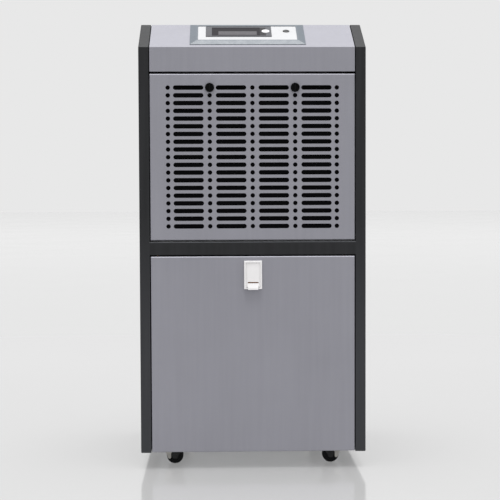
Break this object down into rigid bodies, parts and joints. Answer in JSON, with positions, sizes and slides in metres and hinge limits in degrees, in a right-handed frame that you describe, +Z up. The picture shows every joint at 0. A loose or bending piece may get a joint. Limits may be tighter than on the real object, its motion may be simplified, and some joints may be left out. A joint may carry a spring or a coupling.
{
  "type": "cabinet dehumidifier",
  "caption": "Upright sheet-metal dehumidifier on casters, with a punched tilting grille, a sloping control panel, a fold-down door and a pull-out water tank.",
  "frame": {"origin": "on the floor, under the middle of the whole object", "axes": "+Z up, -Y out of the front, +X to the right of someone facing the front"},
  "size_m": [0.4824, 0.4599, 0.956],
  "materials": {
    "charcoal_paint": "satin powder coat",
    "grey_paint": "satin powder coat",
    "zinc_sheet": "galvanised",
    "zinc_hardware": "bright zinc plate",
    "black_hardware": "black electro-coat",
    "black_plastic": "fine grain",
    "black_gloss": "gloss",
    "white_plastic": "semi-gloss",
    "bezel_plastic": "satin",
    "surround_plastic": "satin",
    "lens_plastic": "gloss",
    "aluminium_fin": "bright",
    "copper": "bright",
    "compressor_paint": "gloss",
    "rubber": "matt",
    "wheel_plastic": "satin",
    "tank_plastic": "translucent natural",
    "float_foam": "closed-cell",
    "filter_mesh": "woven",
    "grey_plastic": "satin",
    "circuit_board": "solder mask"
  },
  "bodies": {
    "cabinet": {"side_panel_left": "charcoal_paint", "side_panel_right": "charcoal_paint", "handle_cups": "black_plastic", "base_pan": "zinc_sheet", "top_cover": "grey_paint", "crossbar": "charcoal_paint", "upper_rail": "charcoal_paint", "mid_deck": "zinc_sheet", "rear_panel": "grey_paint", "cabinet_screws": "zinc_hardware", "pivot_pins": "black_hardware", "tank_shelf": "zinc_sheet", "float_switch": "black_plastic", "evaporator_fins": "aluminium_fin", "condenser_fins": "aluminium_fin", "coil_end_plates": "zinc_sheet", "coil_return_bends": "copper", "refrigerant_pipes": "copper", "compressor": "compressor_paint", "compressor_grommets": "rubber", "accumulator": "compressor_paint", "drip_tray": "grey_plastic", "drain_pipe": "grey_plastic", "drain_spout": "black_plastic", "fan_shroud": "zinc_sheet", "fan_motor": "compressor_paint", "motor_bracket": "zinc_sheet", "electric_box": "zinc_sheet", "circuit_boards": "circuit_board", "control_bezel": "bezel_plastic", "control_label": "white_plastic", "display_frame": "surround_plastic", "display_lens": "lens_plastic", "cable_gland": "black_plastic", "caster_plates": "zinc_hardware", "caster_bolts": "zinc_hardware"},
    "door": {"door_panel": "grey_paint", "latch_housing": "white_plastic"},
    "latch": {"latch_paddle": "white_plastic"},
    "tank": {"water_tank": "tank_plastic"},
    "tank_bail": {"tank_handle": "zinc_hardware"},
    "float_arm": {"tank_float": "float_foam"},
    "grille": {"grille_panel": "grey_paint", "filter_frame": "black_plastic", "filter_mesh": "filter_mesh"},
    "knob_left": {"grille_knob_left": "black_plastic"},
    "knob_right": {"grille_knob_right": "black_plastic"},
    "fan": {"fan_impeller": "black_plastic"},
    "mode_key": {"mode_button": "white_plastic"},
    "power_key": {"power_button": "black_gloss"},
    "swivel_front_left": {"caster_fork_front_left": "black_hardware"},
    "wheel_front_left": {"caster_wheel_front_left": "wheel_plastic"},
    "swivel_front_right": {"caster_fork_front_right": "black_hardware"},
    "wheel_front_right": {"caster_wheel_front_right": "wheel_plastic"},
    "swivel_rear_left": {"caster_fork_rear_left": "black_hardware"},
    "wheel_rear_left": {"caster_wheel_rear_left": "wheel_plastic"},
    "swivel_rear_right": {"caster_fork_rear_right": "black_hardware"},
    "wheel_rear_right": {"caster_wheel_rear_right": "wheel_plastic"},
    "brake_front_left": {"caster_brake_front_left": "zinc_hardware"},
    "brake_front_right": {"caster_brake_front_right": "zinc_hardware"}
  },
  "joints": [
    {"name": "door_hinge", "type": "hinge", "parent": "cabinet", "child": "door", "pos_m": [0, -0.216, 0.045], "axis": [1, 0, 0], "range_deg": [0, 90]},
    {"name": "latch_push", "type": "hinge", "parent": "door", "child": "latch", "pos_m": [0, -0.2235, 0.434], "axis": [1, 0, 0], "range_deg": [0, 5], "stiffness_Nm_per_rad": 0.4, "springref_deg": -5.73},
    {"name": "tank_slide", "type": "slide", "parent": "cabinet", "child": "tank", "axis": [0, -1, 0], "range_m": [0, 0.1005]},
    {"name": "bail_lift", "type": "hinge", "parent": "tank", "child": "tank_bail", "pos_m": [0, -0.092, 0.286], "axis": [-1, 0, 0], "range_deg": [0, 90]},
    {"name": "float_rise", "type": "hinge", "parent": "tank", "child": "float_arm", "pos_m": [0.124, -0.03, 0.268], "axis": [-1, 0, 0], "range_deg": [0, 30]},
    {"name": "grille_tilt", "type": "hinge", "parent": "cabinet", "child": "grille", "pos_m": [0, -0.216, 0.4955], "axis": [1, 0, 0], "range_deg": [0, 60]},
    {"name": "knob_left_turn", "type": "hinge", "parent": "grille", "child": "knob_left", "pos_m": [-0.0902, -0.222, 0.8101], "axis": [0, 1, 0], "range_deg": [0, 90]},
    {"name": "knob_right_turn", "type": "hinge", "parent": "grille", "child": "knob_right", "pos_m": [0.0902, -0.222, 0.8101], "axis": [0, 1, 0], "range_deg": [0, 90]},
    {"name": "fan_spin", "type": "hinge", "parent": "cabinet", "child": "fan", "pos_m": [0, 0.003, 0.666], "axis": [0, 1, 0], "continuous": true},
    {"name": "mode_press", "type": "slide", "parent": "cabinet", "child": "mode_key", "axis": [0, 0.4884, -0.8726], "range_m": [0, 0.001], "stiffness_N_per_m": 400, "springref_m": -0.001},
    {"name": "power_press", "type": "slide", "parent": "cabinet", "child": "power_key", "axis": [0, 0.4884, -0.8726], "range_m": [0, 0.001], "stiffness_N_per_m": 400, "springref_m": -0.001},
    {"name": "swivel_front_left_turn", "type": "hinge", "parent": "cabinet", "child": "swivel_front_left", "pos_m": [-0.1555, -0.16, 0.05], "axis": [0, 0, 1], "continuous": true},
    {"name": "wheel_front_left_roll", "type": "hinge", "parent": "swivel_front_left", "child": "wheel_front_left", "pos_m": [-0.1695, -0.16, 0.018], "axis": [0, 1, 0], "continuous": true},
    {"name": "swivel_front_right_turn", "type": "hinge", "parent": "cabinet", "child": "swivel_front_right", "pos_m": [0.1555, -0.16, 0.05], "axis": [0, 0, 1], "continuous": true},
    {"name": "wheel_front_right_roll", "type": "hinge", "parent": "swivel_front_right", "child": "wheel_front_right", "pos_m": [0.1695, -0.16, 0.018], "axis": [0, 1, 0], "continuous": true},
    {"name": "swivel_rear_left_turn", "type": "hinge", "parent": "cabinet", "child": "swivel_rear_left", "pos_m": [-0.1555, 0.146, 0.05], "axis": [0, 0, 1], "continuous": true},
    {"name": "wheel_rear_left_roll", "type": "hinge", "parent": "swivel_rear_left", "child": "wheel_rear_left", "pos_m": [-0.1695, 0.146, 0.018], "axis": [0, 1, 0], "continuous": true},
    {"name": "swivel_rear_right_turn", "type": "hinge", "parent": "cabinet", "child": "swivel_rear_right", "pos_m": [0.1555, 0.146, 0.05], "axis": [0, 0, 1], "continuous": true},
    {"name": "wheel_rear_right_roll", "type": "hinge", "parent": "swivel_rear_right", "child": "wheel_rear_right", "pos_m": [0.1695, 0.146, 0.018], "axis": [0, 1, 0], "continuous": true},
    {"name": "brake_front_left_press", "type": "hinge", "parent": "swivel_front_left", "child": "brake_front_left", "pos_m": [-0.1725, -0.16, 0.0395], "axis": [0, -1, 0], "range_deg": [0, 9]},
    {"name": "brake_front_right_press", "type": "hinge", "parent": "swivel_front_right", "child": "brake_front_right", "pos_m": [0.1725, -0.16, 0.0395], "axis": [0, 1, 0], "range_deg": [0, 9]}
  ],
  "couplings": [
    {"joint": "tank_slide", "follows": "door_hinge", "m_per_rad": 0.0637}
  ]
}
